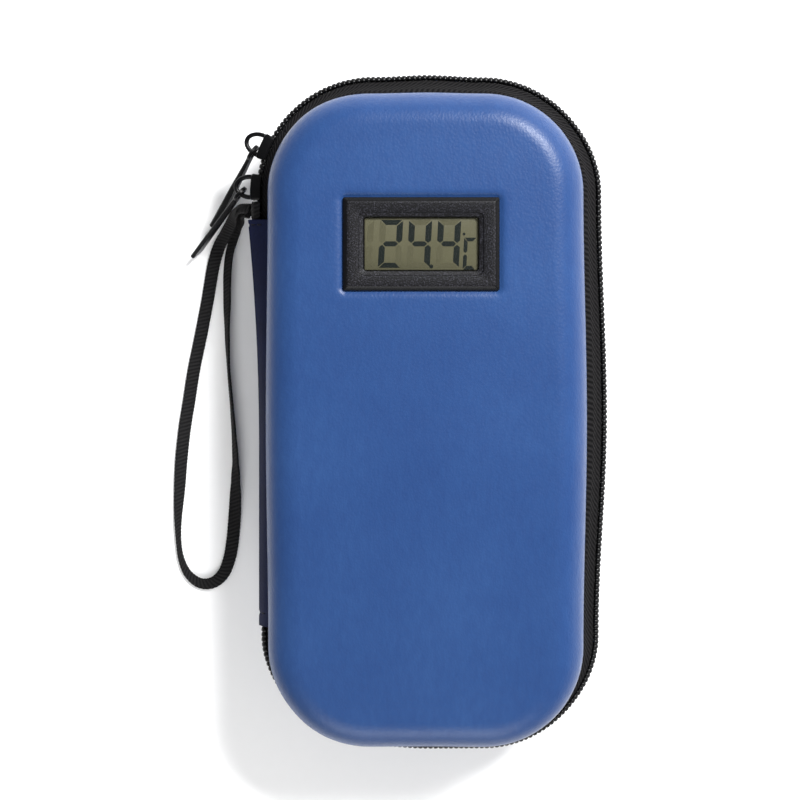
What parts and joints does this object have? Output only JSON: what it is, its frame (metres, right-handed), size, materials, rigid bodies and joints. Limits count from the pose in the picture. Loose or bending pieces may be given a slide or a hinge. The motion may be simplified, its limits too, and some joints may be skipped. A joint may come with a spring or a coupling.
{
  "type": "insulin cooling case",
  "caption": "Slim zipped insulated case for insulin pens, with a panel thermometer in its front shell and a wrist strap.",
  "frame": {"origin": "centre of the back shell's flat face, on the surface the case lies on", "axes": "+Z out of the front shell, +Y along the case towards the thermometer's end, +X across it from the spine to the zip"},
  "size_m": [0.1451, 0.2171, 0.0533],
  "materials": {
    "cover": "smooth leather-look fabric, fine grain, soft sheen",
    "foam": "closed-cell foam",
    "lining": "brushed knit lining",
    "tape": "twill weave",
    "coil": "satin nylon",
    "spine": "coated cloth",
    "slider": "black paint, half gloss",
    "strap": "ribbed woven tape",
    "meter": "fine spark texture",
    "window": "clear",
    "lcd": "grey-green reflective",
    "board": "solder mask",
    "cell": "satin",
    "sensor": "epoxy bead",
    "elastic": "knitted elastic",
    "gel": "clear film over blue gel",
    "mesh": "open knit mesh"
  },
  "bodies": {
    "base": {"back_shell": "cover", "back_insulation": "foam", "back_lining": "lining", "back_zip_tape": "tape", "back_zip_coil": "coil", "zip_end_tape": "tape", "zip_end_coil": "coil", "strap_anchor": "tape", "wrist_strap": "strap", "pen_band_1": "elastic", "pen_band_2": "elastic"},
    "spine": {"spine_cover": "spine", "spine_lining": "lining"},
    "lid": {"front_shell": "cover", "front_insulation": "foam", "front_lining": "lining", "front_zip_tape": "tape", "front_zip_coil": "coil", "thermometer_bezel": "meter", "thermometer_housing": "meter", "lcd_window": "window", "lcd_panel": "lcd", "circuit_board": "board", "battery_cell_1": "cell", "battery_cell_2": "cell", "temperature_sensor": "sensor", "battery_door": "meter", "gel_pack": "gel", "mesh_pocket": "mesh"},
    "slider_a": {"slider_1": "slider"},
    "pull_a": {"pull_tab_1": "slider"},
    "slider_b": {"slider_2": "slider"},
    "pull_b": {"pull_tab_2": "slider"}
  },
  "joints": [
    {"name": "spine_fold", "type": "hinge", "parent": "base", "child": "spine", "pos_m": [-0.053, 0, 0.0205], "axis": [0, -1, 0], "range_deg": [0, 90]},
    {"name": "lid_fold", "type": "hinge", "parent": "spine", "child": "lid", "pos_m": [-0.053, 0, 0.0335], "axis": [0, -1, 0], "range_deg": [0, 90]},
    {"name": "slider_1_travel", "type": "hinge", "parent": "base", "child": "slider_a", "pos_m": [-0.0178, 0.0711, 0.027], "axis": [0, 0, 1], "range_deg": [-66, 2]},
    {"name": "pull_1_swing", "type": "hinge", "parent": "slider_a", "child": "pull_a", "pos_m": [-0.05684, 0.08454, 0.027], "axis": [-0.8181, 0.575, 0], "range_deg": [-2, 100]},
    {"name": "slider_2_travel", "type": "hinge", "parent": "base", "child": "slider_b", "pos_m": [-0.0178, 0.0711, 0.027], "axis": [0, 0, 1], "range_deg": [-4, 0]},
    {"name": "pull_2_swing", "type": "hinge", "parent": "slider_b", "child": "pull_b", "pos_m": [-0.06096, 0.07121, 0.027], "axis": [-0.729, 0.6845, 0], "range_deg": [-2, 100]}
  ]
}
